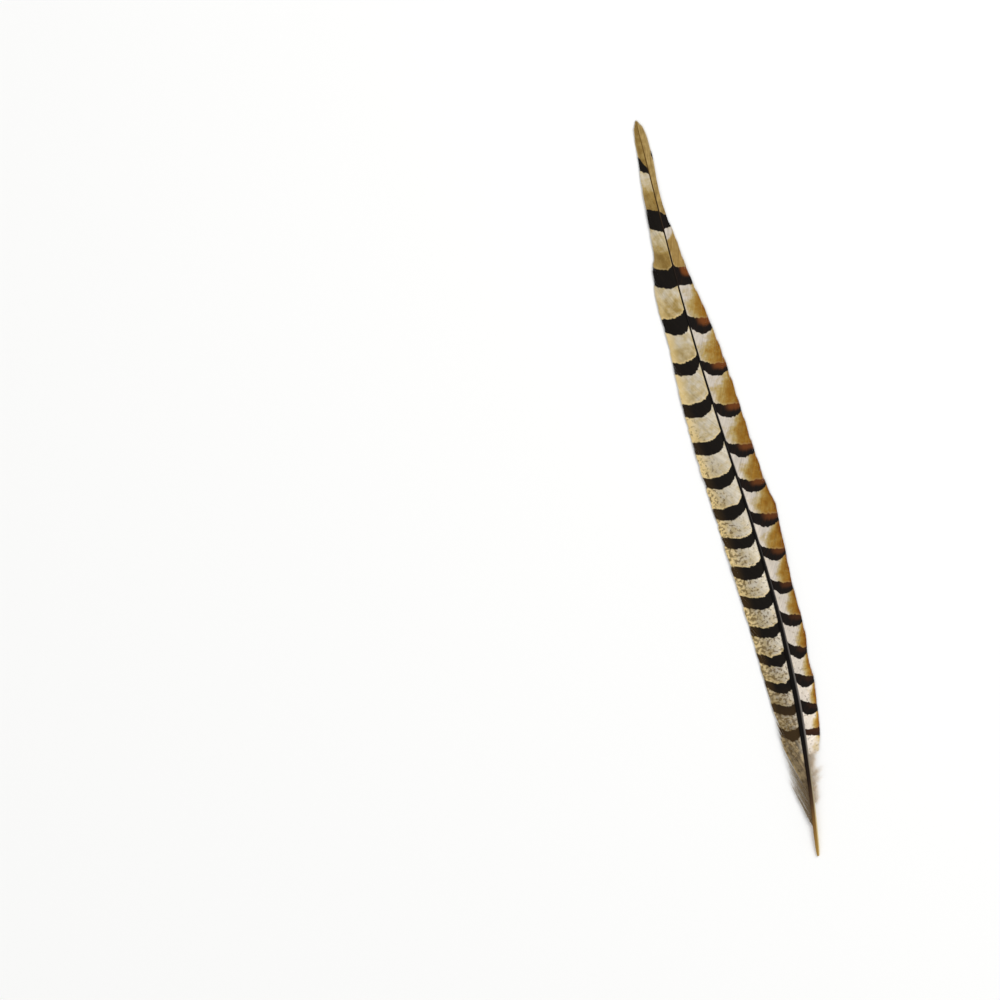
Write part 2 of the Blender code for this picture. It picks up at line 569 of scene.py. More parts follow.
@dataclass(frozen=True)
class VaneFinish:
    """Barred keratin: pale patches between dark bars, each with flecks and fine streaks.

    The barbs are matt, and their pigment is laid barb by barb, so every edge of a bar is a
    little ragged and every patch is streaked along the barbs. A real streak is one barb wide,
    and these are a few barbs wide, so that they show. Sizes are in millimetres.

    Attributes:
        smoke: Contrast and level of the smoky colour, dusk.
        shade: Contrast and level of the lightness from barb to barb.
        fleck_pull: How much larger the flecks are where there are more.
        fleck_limits: Where in the noise a fleck's edge starts and ends.
        fleck_cover: How fast flecks grow opaque with their number, and the most.
        rim_reach: How far from a bar its pale rim starts, and where it is full.
    """

    name: str
    ground: tuple
    dusk: tuple
    fleck: str
    bar: str
    bronze: str
    pale: str
    under: str
    streak_size: tuple = (0.7, 9.0)
    fleck_size: tuple = (1.5, 1.5)
    cloud_size: tuple = (3.2, 3.2)
    cloudiness: float = 1.1
    smoke: tuple = (0.7, -0.2)
    shade: tuple = (0.55, 0.72)
    streakiness: float = 0.3
    fleck_pull: float = 0.18
    fleck_limits: tuple = (0.63, 0.73)
    fleck_cover: tuple = (1.5, 0.75)
    rim_reach: tuple = (-1.1, -0.4)
    raggedness: float = 0.5
    blur: float = 0.14
    underside: float = 0.45

    def make(self) -> bpy.types.Material:
        """Make the material.

        Returns:
            The material, which reads the hints that a vane stores.
        """
        recipe = Recipe(self.name)
        got = {hint: recipe.add("Attribute", out="Fac", attribute_name=hint)
               for hint in ("edge", "warm", "dusk", "tone", "pale", "speck", "rim", "bronze",
                            "under")}
        got["streak"] = recipe.pattern("grain", self.streak_size, 3.0, 0.6)
        got["cloud"] = recipe.pattern("spot", self.cloud_size, 3.0, 0.6)
        got["blot"] = recipe.pattern("spot", self.fleck_size, 2.0, 0.6)
        # Each sum has a name, an operation and its terms, which are numbers or earlier names.
        sums = (
            ("clouded", "MULTIPLY_ADD", "cloud", self.cloudiness, -self.cloudiness / 2),
            ("warmth", "ADD", "warm", "clouded"),
            ("misted", "ADD", "streak", "cloud"),
            ("smoke", "MULTIPLY_ADD", "misted", *self.smoke),
            ("toned", "ADD", "streak", "tone"),
            ("shade", "MULTIPLY_ADD", "toned", *self.shade),
            ("streaked", "MULTIPLY_ADD", "streak", self.streakiness, -self.streakiness / 2),
            ("frayed", "ADD", "blot", "streaked"),
            ("blotted", "MULTIPLY_ADD", "speck", self.fleck_pull, "frayed"),
            ("flecked", "SMOOTHSTEP", "blotted", *self.fleck_limits),
            ("covered", "MULTIPLY", "speck", self.fleck_cover[0]),
            ("opaque", "MINIMUM", "covered", self.fleck_cover[1]),
            ("flecks", "MULTIPLY", "flecked", "opaque"),
            ("by_bar", "SMOOTHSTEP", "edge", *self.rim_reach),
            ("rimmed", "MULTIPLY", "by_bar", "rim"),
            ("bronzed", "ADD", "bronze", "streaked"),
            ("torn", "MULTIPLY_ADD", "blot", self.raggedness, -self.raggedness / 2),
            ("ragged", "ADD", "edge", "torn"),
            ("barred", "SMOOTHSTEP", "ragged", -self.blur, self.blur),
            ("beneath", "MULTIPLY", "under", self.underside),
        )
        for name, operation, *terms in sums:
            terms = {number: got.get(term, term) for number, term in enumerate(terms)}
            if operation == "SMOOTHSTEP":
                got[name] = recipe.add("MapRange", terms, interpolation_type=operation)
            else:
                got[name] = recipe.add("Math", terms, operation=operation)

        colour = recipe.add("ValToRGB", {"Fac": got["warmth"]}, stops=self.ground)
        dusk = recipe.add("ValToRGB", {"Fac": got["smoke"]}, stops=self.dusk)
        shade = recipe.add("CombineColor", dict.fromkeys(range(3), got["shade"]))
        bar = recipe.add("Mix", {0: got["bronzed"], 6: linear(self.bar),
                                 7: linear(self.bronze)}, out=2, data_type="RGBA")
        pale, fleck, under = (linear(coat) for coat in (self.pale, self.fleck, self.under))
        for amount, coat, blend in (
                ("dusk", dusk, "MIX"), (1.0, shade, "MULTIPLY"), ("pale", pale, "MIX"),
                ("flecks", fleck, "MIX"), ("rimmed", pale, "MIX"), ("barred", bar, "MIX"),
                ("beneath", under, "MIX")):
            colour = recipe.add("Mix", {0: got.get(amount, amount), 6: colour, 7: coat},
                                out=2, data_type="RGBA", blend_type=blend)
        bump = recipe.add("Bump", {"Strength": 0.15, "Distance": 0.0001,
                                   "Height": got["streak"]})
        return recipe.finish(Base_Color=colour, Roughness=0.7, Specular_IOR_Level=0.1,
                             Normal=bump)


INNER_FINISH = VaneFinish(
    name="barred_keratin_inner",
    ground=((0.0, "#cdc4b2"), (0.3, "#bfae88"), (0.6, "#a3894f"), (0.9, "#876b35")),
    dusk=((0.42, "#4b3c23"), (0.57, "#ad9770")), fleck="#5c451f", bar="#130f0b",
    bronze="#46341b", pale="#e9cf93", under="#7c7466")
OUTER_FINISH = VaneFinish(
    name="barred_keratin_outer",
    ground=((0.0, "#c9bfb2"), (0.17, "#b8a785"), (0.33, "#aa9156"), (0.5, "#9a7633"),
            (0.7, "#90641b"), (0.95, "#744310")),
    dusk=((0.38, "#8f7542"), (0.6, "#ac915a")), fleck="#5c4a30", bar="#120d0a",
    bronze="#733f18", pale="#d8ceb6", under="#85796a", cloudiness=0.8)


@dataclass(frozen=True)
class ShaftFinish:
    """Solid keratin, polished by wear: near black along the vanes and clear straw at the quill.

    Attributes:
        stops: Colours of its top, from the tip at 0 to the end of the quill at 1.
        highlight_stops: Colours of the side towards the outer vane and the key lamp, a painted
            highlight.
        highlight_turn: How far a point is turned to that side where the painted highlight starts
            and ends.
        drift: How far the fine lines in the horn move the colours along.
    """

    name: str = "shaft_keratin"
    stops: tuple = ((0.0, "#6f5526"), (0.06, "#57401c"), (0.14, "#2a1d11"), (0.25, "#0b0807"),
                    (0.85, "#0b0807"), (0.9, "#241810"), (0.93, "#4e3824"),
                    (0.96, "#82602f"), (1.0, "#a8843f"))
    highlight_stops: tuple = ((0.0, "#80642f"), (0.06, "#63491f"), (0.14, "#30241a"),
                          (0.3, "#1c1816"), (0.62, "#3a3735"), (0.84, "#76706b"),
                          (0.925, "#b3a382"), (0.96, "#cdb988"), (1.0, "#d9c48f"))
    highlight_turn: tuple = (0.15, 0.8)
    line_size: tuple = (0.12, 12.0)
    drift: float = 0.03

    def make(self) -> bpy.types.Material:
        """Make the material.

        Returns:
            The material, which reads the hints that the shaft stores.
        """
        recipe = Recipe(self.name)
        place, turned = (recipe.add("Attribute", out="Fac", attribute_name=hint)
                         for hint in ("from_tip", "outwards"))
        lines = recipe.pattern("grain", self.line_size, 3.0, 0.5)
        place = recipe.add("Math", {0: lines, 1: self.drift, 2: place},
                           operation="MULTIPLY_ADD")
        place = recipe.add("Math", {0: place, 1: self.drift / 2}, operation="SUBTRACT")
        # The flank colours are a painted highlight on the side towards the key lamp, mixed in
        # over the top colours below.
        top, flank = (recipe.add("ValToRGB", {"Fac": place}, stops=stops)
                      for stops in (self.stops, self.highlight_stops))
        pale = recipe.add("MapRange", dict(enumerate((turned, *self.highlight_turn))),
                          interpolation_type="SMOOTHSTEP")
        colour = recipe.add("Mix", {0: pale, 6: top, 7: flank}, out=2,
                            data_type="RGBA")
        bump = recipe.add("Bump", {"Strength": 0.3, "Distance": 0.00005, "Height": lines})
        return recipe.finish(Base_Color=colour, Roughness=0.4, Specular_IOR_Level=0.06,
                             Normal=bump)


@dataclass(frozen=True)
class DownFinish:
    """Soft loose keratin, matt and nearly colourless at its tips."""

    name: str
    root: str
    tip: str
    variety: float = 0.35

    def make(self) -> bpy.types.Material:
        """Make the material.

        Returns:
            The material, which reads the hints that the down stores.
        """
        recipe = Recipe(self.name)
        along, tone = (recipe.add("Attribute", out="Fac", attribute_name=hint)
                       for hint in ("reach", "tone"))
        place = recipe.add("Math", {0: tone, 1: self.variety, 2: along},
                           operation="MULTIPLY_ADD")
        colour = recipe.add("ValToRGB", {"Fac": place},
                            stops=((0.0, self.root), (1.0, self.tip)))
        return recipe.finish(Base_Color=colour, Roughness=0.8, Specular_IOR_Level=0.2)


@dataclass(frozen=True)
class FloorFinish:
    """Matt white card, which gives the soft pale ground."""

    name: str = "white_card"
    colour: str = "#fbfbfa"

    def make(self) -> bpy.types.Material:
        """Make the material."""
        return Recipe(self.name).finish(Base_Color=linear(self.colour), Roughness=0.9,
                                        Specular_IOR_Level=0.1)


# --- the bars ---------------------------------------------------------------------------------
@dataclass(frozen=True)
class Places:
    """Where the points of a vane are.

    Attributes:
        from_tip: Distance of each point from the tip.
        across: Its part of the way across the vane.
        patch: Its part of the way through a patch, towards the quill.
        depth: Its part of the way through the nearest bar, the same way.
    """

    from_tip: Array
    across: Array
    patch: Array
    depth: Array


@dataclass(frozen=True)
class Bar:
    """A dark bar across one vane.

    Attributes:
        distal: Where its edge towards the tip crosses the middle of the vane.
        proximal: The same for its edge towards the quill.
        leans: How much nearer the quill each edge is at the shaft than at the outline, over
            and above the curve that all bars share.
    """

    distal: float
    proximal: float
    leans: tuple = (0.0, 0.0)


@dataclass(frozen=True)
class Bars:
    """The bars of one vane, and the curves that their edges follow across it.

    Attributes:
        curves: How far both edges are moved towards the quill, across the vane.
        strengths: How much of those curves they follow, along the feather.
        thinnest: The least width that counts as a bar.
        turn: The part of a bar's width after which a point counts as past it.
    """

    bars: tuple
    curves: tuple
    strengths: tuple
    thinnest: float = 0.5
    turn: float = 0.75
    last_patch: float = 10.0

    def edges(self, bar: Bar, across: Array) -> tuple[Array, Array]:
        """Find where a bar's two edges are.

        Args:
            bar: The bar.
            across: Each point's part of the way across the vane.

        Returns:
            The edge towards the tip and the one towards the quill, beside each point.
        """
        sides = zip((bar.distal, bar.proximal), self.strengths, self.curves, bar.leans)
        return tuple(place + strength.at(place) * curve.at(across) + lean * (0.5 - across)
                     for place, strength, curve, lean in sides)

    def read(self, from_tip: Array, shift: Array, across: Array) -> tuple[Array, Places]:
        """Find where points are among the bars.

        Args:
            from_tip: Distance of each point from the tip.
            shift: How far its barb's pigment is moved along.
            across: Its part of the way across the vane.

        Returns:
            The distance inside a bar, negative outside, and the points' places.
        """
        where = from_tip + shift
        inside = np.full_like(where, -np.inf)
        patch, depth = np.zeros_like(where), np.zeros_like(where)
        late, last = np.full_like(where, -np.inf), np.zeros_like(where)
        for bar in self.bars:
            distal, proximal = self.edges(bar, across)
            inside = np.maximum(inside, np.minimum(where - distal, proximal - where))
            width = np.maximum(proximal - distal, self.thinnest)
            patch = np.where(where > late, (where - last) / np.maximum(distal - last, 1), patch)
            depth = np.where(where > (last + distal) / 2, (where - distal) / width, depth)
            late, last = distal + self.turn * width, proximal
        patch = np.where(where > late, (where - last) / self.last_patch, patch)
        return inside, Places(from_tip, across, np.clip(patch, 0, 1), np.clip(depth, 0, 1))


def evenly_barred(places: tuple, thicknesses: tuple, lean: float = 0.0) -> tuple:
    """Make bars from the places of their middles, their thicknesses and their lean."""
    return tuple(Bar(place - thickness / 2, place + thickness / 2, (lean, lean))
                 for place, thickness in zip(places, thicknesses))


INNER_BARS = Bars(
    bars=(Bar(21.6, 26.4, (8.0, 3.6)), Bar(45.6, 56.1, (2.3, 4.4)),
          Bar(75.9, 85.1, (3.5, 3.9)), Bar(100.4, 109.0, (0.0, 1.6)))
    + evenly_barred((126.5, 147.6, 167.2, 185.2, 201.5), (6.5, 7.0, 6.9, 5.8, 6.1))
    + evenly_barred((217.5, 233.0, 249.0, 264.5, 279.0, 293.0, 305.0, 317.5),
                    (5.4, 6.5, 6.2, 5.2, 5.2, 5.0, 4.8, 4.6), lean=2.4),
    curves=(Course(((0, -5.0), (0.06, -3.1), (0.14, -1.7), (0.3, -0.3), (0.55, 0.0),
                    (1, -1.9))),
            Course(((0, -5.8), (0.06, -3.2), (0.14, -1.5), (0.3, 0.0), (0.5, 0.4),
                    (0.75, -0.4), (1, -2.6)))),
    strengths=(Course(((50, 0.0), (75, 0.7), (150, 0.75), (180, 1.0))),
               Course(((57, 0.0), (85, 0.4), (108, 0.85), (122, 1.0)))))
OUTER_BARS = Bars(
    bars=(Bar(24.0, 12.75, (20.0, -17.5)), Bar(48.3, 55.8, (-2.8, 1.0)),
          Bar(76.6, 86.2, (0.8, 0.0)))
    + evenly_barred(
        (107.8, 130.8, 152.7, 173.7, 192.2, 210.2, 227.7, 244.9, 261.6, 277.4, 292.2, 305.7),
        (8.5, 6.7, 7.0, 6.8, 6.4, 6.8, 6.2, 6.2, 6.4, 6.2, 6.2, 6.0))
    + (Bar(315.6, 319.0, (0.0, -1.6)),),
    curves=(Course(((0, -4.6), (0.08, -3.2), (0.2, -1.8), (0.5, 0.0), (1, 1.5))),
            Course(((0, -5.0), (0.12, -3.2), (0.25, -1.6), (0.4, -0.4), (0.55, 0.0),
                    (0.8, -0.4), (1, -1.7)))),
    strengths=(Course(((50, 0.0), (76, 0.7), (110, 0.8), (170, 0.9), (200, 1.05), (300, 1.1),
                       (315, 0.0))),
               Course(((80, 0.0), (88, 0.25), (110, 1.0), (300, 1.0), (315, 0.0)))))


# --- the tints between and within the bars -----------------------------------------------------
def cream_lines(places: Places) -> Array:
    """Find how much cream there is beside the shaft and along the outline of the tip.

    Args:
        places: Where the points are.

    Returns:
        The cream at each point.
    """
    beside_shaft = ease(0.1, 0.02, places.across)
    past_tip = ease(45, 60, places.from_tip) * ease(180, 140, places.from_tip)
    outline, near_tip = ease(0.7, 1.0, places.across), ease(30, 20, places.from_tip)
    return 0.5 * beside_shaft * past_tip + 0.3 * outline * near_tip


@dataclass(frozen=True)
class InnerTints:
    """The inner vane: olive at the tip, then cream patches, buff at the outline, then taupe.

    Attributes:
        gradient: How much warmer a patch grows towards the quill.
        tan: How much warmer it is towards the outline.
        tip: Where the tip's own colour ends, and how warm it is.
        sheen: How much lighter the barbs are across the vane, as far as sheen_along says.
        evenness: How evenly the flecks are spread across the vane.
        faded: How far the bars fade at the outline.
    """

    gradient: Course = Course(((0, 0.6), (75, 0.6), (90, 0.4), (120, 0.28), (160, 0.15),
                               (260, 0.1)))
    cream: Course = Course(((0, 0.24), (70, 0.24), (110, 0.14), (180, 0.0)))
    tan: Course = Course(((90, 0.0), (130, 0.1), (200, 0.17), (250, 0.22), (330, 0.24)))
    tip: tuple = (24, 0.85)
    buff: Course = Course(((80, 0.1), (110, 0.75), (190, 0.95), (270, 0.85), (300, 0.2),
                           (320, 0.0)))
    sheen: Course = Course(((0.08, 0.5), (0.2, 0.3), (0.35, -0.05), (0.6, -0.2), (0.8, -0.08),
                            (1, 0.15)))
    sheen_along: Course = Course(((150, 0.0), (200, 0.6), (235, 1.0), (320, 1.0), (340, 0.2)))
    dusk: Course = Course(((240, 0.0), (285, 0.15), (310, 0.55), (328, 0.95), (366, 1.0)))
    flecks: Course = Course(((100, 0.0), (130, 0.15), (165, 0.5), (200, 0.8), (250, 1.0),
                             (315, 1.1), (332, 0.45), (350, 0.1)))
    evenness: Course = Course(((150, 0.2), (250, 0.5), (310, 0.8)))
    faded: Course = Course(((100, 0.0), (170, 0.5), (240, 0.9), (300, 1.0)))
    rim: float = 0.5

    def hints(self, places: Places) -> dict:
        """Tint the points.

        Args:
            places: Where they are.

        Returns:
            The hints for the finish, by name.
        """
        from_tip, across, patch = places.from_tip, places.across, places.patch
        warm = self.gradient.at(from_tip) * ease(0.2, 0.75, patch) + self.cream.at(from_tip)
        warm = warm + self.tan.at(from_tip) * ease(0.25, 0.7, across)
        warm = np.where(from_tip < self.tip[0], self.tip[1], warm)
        clear_by_shaft = ease(0.35, 0.08, across) * ease(340, 322, from_tip)
        even = self.evenness.at(from_tip)
        bronze_at_outline = self.faded.at(from_tip) * ease(0.6, 1.0, across)
        bronze_at_foot = 0.7 * ease(290, 312, from_tip)
        rimmed = ease(0.3, 0.7, patch) * ease(60, 95, from_tip) * ease(310, 280, from_tip)
        return {
            "warm": warm,
            "dusk": self.dusk.at(from_tip) * (1 - 0.8 * clear_by_shaft),
            "speck": self.flecks.at(from_tip) * (even + (1 - even) * ease(0.25, 0.9, across)),
            "bronze": np.maximum(bronze_at_outline, bronze_at_foot),
            "pale": self.buff.at(from_tip) * ease(0.6, 0.95, across) + cream_lines(places),
            "light": self.sheen.at(across) * self.sheen_along.at(from_tip),
            "rim": self.rim * rimmed,
        }


@dataclass(frozen=True)
class OuterTints:
    """The outer vane: tan at the tip, then patches that go from white to gold outwards.

    Attributes:
        widest: How far across the vane the gold starts, at the start of a patch.
        drop: How much nearer the shaft it starts at the patch's end.
        glow: How much lighter the patches are, most so at their start.
        chestnut: How far the bars turn chestnut on their side towards the tip.
    """

    widest: Course = Course(((60, 1.3), (80, 1.0), (95, 0.98), (131, 0.82), (172, 0.7),
                             (210, 0.71), (244, 0.76), (277, 0.9), (299, 0.93), (315, 0.95),
                             (322, 0.72)))
    drop: Course = Course(((60, 2.6), (80, 0.7), (95, 0.65), (131, 0.55), (172, 0.38),
                           (210, 0.4), (244, 0.29), (277, 0.3), (299, 0.24), (320, 0.3)))
    softness: Course = Course(((60, 0.4), (95, 0.6), (131, 0.55), (172, 0.37), (210, 0.32),
                               (244, 0.26), (277, 0.26), (299, 0.2)))
    gold: float = 0.68
    rusty: Course = Course(((60, 0.16), (150, 0.17), (200, 0.3)))
    cream: Course = Course(((80, 0.0), (110, -0.05), (320, -0.06)))
    glow: Course = Course(((255, 0.0), (277, 0.3), (298, 0.7), (312, 0.9), (328, 1.1)))
    chestnut: Course = Course(((60, 0.0), (72, 1.0), (110, 0.95), (150, 0.8), (200, 0.65),
                               (250, 0.3), (280, 0.12), (320, 0.08)))
    flecks: Course = Course(((150, 0.0), (200, 0.08), (270, 0.3), (300, 0.42), (315, 0.34)))
    rim: float = 0.06
    tip_end: float = 47.0

    def hints(self, places: Places) -> dict:
        """Tint the points.

        Args:
            places: Where they are.

        Returns:
            The hints for the finish, by name.
        """
        from_tip, across, patch = places.from_tip, places.across, places.patch
        gold_from = self.widest.at(from_tip) - self.drop.at(from_tip) * ease(0, 0.65, patch)
        gold = ease(-1, 1, (across - gold_from) / self.softness.at(from_tip))
        gold = gold * (1 - 0.75 * ease(317, 323, from_tip))
        rust_at_outline = ease(0.78, 1.0, across) * ease(325, 317, from_tip)
        gold_at_tip = 0.75 * gold * ease(95, 75, from_tip)
        chestnut_side = ease(0.62, 0.32, places.depth - 0.2 * (across - 0.7))
        chestnut = self.chestnut.at(from_tip) * ease(0.3, 0.65, across) * chestnut_side
        white_by_shaft = 0.3 * ease(0.3, 0.1, across) * ease(150, 200, from_tip)
        return {
            "warm": self.cream.at(from_tip) + self.gold * gold
            + self.rusty.at(from_tip) * rust_at_outline,
            "dusk": np.where(from_tip < self.tip_end, 1.0, gold_at_tip),
            "speck": self.flecks.at(from_tip),
            "bronze": chestnut + 0.15 * ease(308, 315, from_tip),
            "rim": np.full_like(from_tip, self.rim),
            "pale": cream_lines(places),
            "light": self.glow.at(from_tip) * (1 - 0.6 * patch) + white_by_shaft,
        }


# --- sub-assemblies ---------------------------------------------------------------------------
def settle(piece: bpy.types.Object, material: bpy.types.Material) -> None:
    """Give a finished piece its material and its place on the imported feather.

    Args:
        piece: The piece.
        material: Its finish.
    """
    piece.data.materials.append(material)
    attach(piece, BODY)
    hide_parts(NODE)
    mesh = piece.data
    mesh.calc_loop_triangles()
    LOG.info("%s: %d triangles, stands for %s", piece.name, len(mesh.loop_triangles), NODE)


@dataclass
class Vane:
    """The firm vane on one side: fine barbs side by side, hooked together in locks.

    The photograph shows no single barbs, so their spacing is a guess. Sizes are in
    millimetres.

    Attributes:
        overlap: Width of each barb, in steps to the next.
        latest_start: The most of their way that barbs may start at.
        notch: How much of the locks' notches the outline shows.
        crowding: How much closer together a barb's rings are at its tip.
        clump_numbers: The fewest extra clumps in a lock, and one past the most.
        tilt: How far a clump's tips are tilted up or down; bristle is for single ones.
        grime: Widths of streaks, in barbs, and how far they change the tone.
        wander: The same for how far they move the pigment along.
    """

    plan: VanePlan
    bars: Bars
    tints: InnerTints | OuterTints
    finish: VaneFinish
    name: str
    last_root: float
    seed: int
    locks: Locks = Locks()
    spacing: float = 0.2
    overlap: float = 1.2
    rings: int = 26
    taper: float = 1.2
    latest_start: float = 0.4
    notch: float = 0.5
    unevenness: float = 0.006
    crowding: float = 1.2
    lock_gap: float = 0.14
    clump_gap: float = 0.07
    clump_numbers: tuple = (1, 4)
    clump_places: tuple = (0.15, 0.85)
    tilt: float = 0.12
    bristle: float = 0.01
    grime: tuple = ((0, 0.12), (2, 0.12), (9, 0.08))
    wander: tuple = ((0, 0.2), (3, 0.3), (12, 0.35))

    def roots(self) -> Array:
        """Place the roots so that the barbs lie evenly side by side.

        Returns:
            The roots, from the tip.
        """
        roots = [self.locks.first_root]
        while roots[-1] < self.last_root:
            angle = math.radians(float(self.plan.angle.at(np.array(roots[-1]))))
            roots.append(roots[-1] + self.spacing / math.sin(angle))
        return np.array(roots[:-1])

    def clumps(self, roots: Array, chance: np.random.Generator) -> tuple[Array, Array, Array]:
        """Part the barbs into clumps: the locks, and two to four finer clumps in each.

        Args:
            roots: The barbs' roots.
            chance: Source of randomness.

        Returns:
            For each barb its clump, its place in the clump from -0.5 to 0.5, and the width
            of the gap that opens beside the clump at the outline.
        """
        starts = list(self.locks.starts(self.last_root))
        pitch = starts[1] - starts[0]
        gaps = list(chance.uniform(0.0, self.lock_gap, len(starts)))
        for start in list(starts):
            for _ in range(chance.integers(*self.clump_numbers)):
                starts.append(start + pitch * chance.uniform(*self.clump_places))
                gaps.append(chance.uniform(0.0, self.clump_gap))
        order = np.argsort(starts)
        starts, gaps = np.array(starts)[order], np.array(gaps)[order]
        clump = np.searchsorted(starts, roots, side="right") - 1
        ends = np.append(starts[1:], self.last_root)
        within = (roots - starts[clump]) / (ends - starts)[clump] - 0.5
        return clump, within, gaps[clump]

    def build(self) -> bpy.types.Object:
        """Build the vane's barbs.

        Returns:
            The piece.
        """
        chance = np.random.default_rng(self.seed)
        roots = self.roots()
        clump, within, gap = self.clumps(roots, chance)
        rows = self.locks.rows(self.plan.side)
        factor = 1 - self.notch * (1 - np.interp(roots, rows[0], rows[1]))
        factor *= 1 + self.unevenness * ripple(chance, len(roots), 2)
        lift = np.interp(roots, rows[0], rows[2])
        start = self.plan.first_part(roots, self.latest_start)
        t = 1 - (1 - np.linspace(0, 1, self.rings)) ** self.crowding
        part = (start + (1 - start) * t) * factor[:, None]
        from_tip, aside, middle = self.plan.lay(roots[:, None], part, lift[:, None])

        forward = unit(np.gradient(middle, axis=1))
        proximal = -self.plan.side.value * unit(np.cross(UP, forward))
        swing = -within * gap
        middle = middle + (swing[:, None] * t ** 3)[..., None] * proximal
        tilt = self.tilt * within * chance.choice((-1, 1), clump.max() + 1)[clump]
        bristle = self.bristle * chance.normal(size=len(roots))
        middle[..., 2] += (tilt + bristle)[:, None] * t
        half = self.half_widths(middle, proximal, clump)
        hints = self.paint(from_tip, aside, middle, chance)
        piece = Strands(middle, half, BARB_SECTION, hints).build(self.name)
        settle(piece, self.finish.make())
        return piece

    def half_widths(self, middle: Array, proximal: Array, clump: Array) -> Array:
        """Make each barb just wide enough to lap over the next, with a tapering tip.

        Args:
            middle: The barbs' middle lines.
            proximal: At each point, the direction of the next barb.
            clump: The clump that each barb is in.

        Returns:
            Half the width of each barb at each ring.
        """
        thinnest, widest = 0.03, 0.25
        tip_share, bluntness, fullness = 0.35, 0.1, 0.6
        steps = np.abs((np.diff(middle, axis=0) * proximal[:-1]).sum(-1))
        steps = np.concatenate([steps, steps[-1:]])
        last = np.flatnonzero(np.diff(clump, append=clump[-1]))
        steps[last] = steps[np.maximum(last - 1, 0)]
        left = walked(middle[:, ::-1])[:, ::-1]
        taper = np.minimum(self.taper, tip_share * left[:, :1])
        tip = np.clip(left / taper, bluntness, 1) ** fullness
        return np.clip(steps * self.overlap / 2, thinnest, widest) * tip

    def paint(self, from_tip: Array, aside: Array, middle: Array,
              chance: np.random.Generator) -> dict:
        """Work out what each point shows: which patch or bar it is in, and its tints.

        Args:
            from_tip: Distance of each point from the tip.
            aside: Distance of each point from the shaft's middle.
            middle: The points.
            chance: Source of randomness.

        Returns:
            The hints for the finish, by name.
        """
        count = len(middle)
        shift, tone = (sum(size * ripple(chance, count, width) for width, size in layers)
                       for layers in (self.wander, self.grime))
        across = self.plan.across(from_tip, aside)
        edge, places = self.bars.read(from_tip, shift[:, None], across)
        gone = walked(middle)
        number = np.repeat(np.arange(count)[:, None] * self.spacing, self.rings, axis=1)
        hints = self.tints.hints(places)
        return hints | {
            "edge": np.clip(edge, -3, 3),
            "grain": np.stack([number, gone, np.zeros_like(gone)], axis=-1),
            "spot": middle * (1.0, 1.0, 0.0),
            "tone": tone[:, None] + hints.pop("light"),
        }


